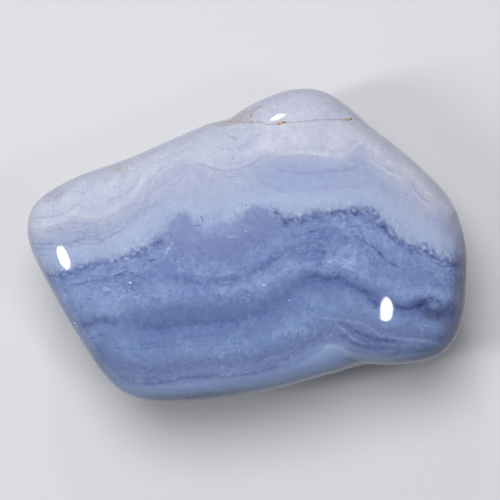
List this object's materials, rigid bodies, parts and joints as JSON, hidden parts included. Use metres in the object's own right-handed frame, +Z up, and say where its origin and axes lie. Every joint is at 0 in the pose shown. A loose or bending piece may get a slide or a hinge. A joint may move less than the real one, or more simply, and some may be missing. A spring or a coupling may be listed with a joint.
{
  "type": "tumbled chalcedony stone",
  "caption": "Tumbled and polished pebble of banded blue chalcedony: a blunt five-sided slab with a lobe at its far side and a small flat to rest on.",
  "frame": {"origin": "middle of the stone's box, at the level of the flat it rests on", "axes": "+X along the stone's length, +Y across it towards the lobe, +Z up, out of the broad crowned face"},
  "size_m": [0.028, 0.02, 0.0114],
  "materials": {
    "polished_chalcedony": "tumble polished, translucent, banded white to grey-blue"
  },
  "bodies": {
    "root": {"stone": "polished_chalcedony"}
  },
  "joints": []
}
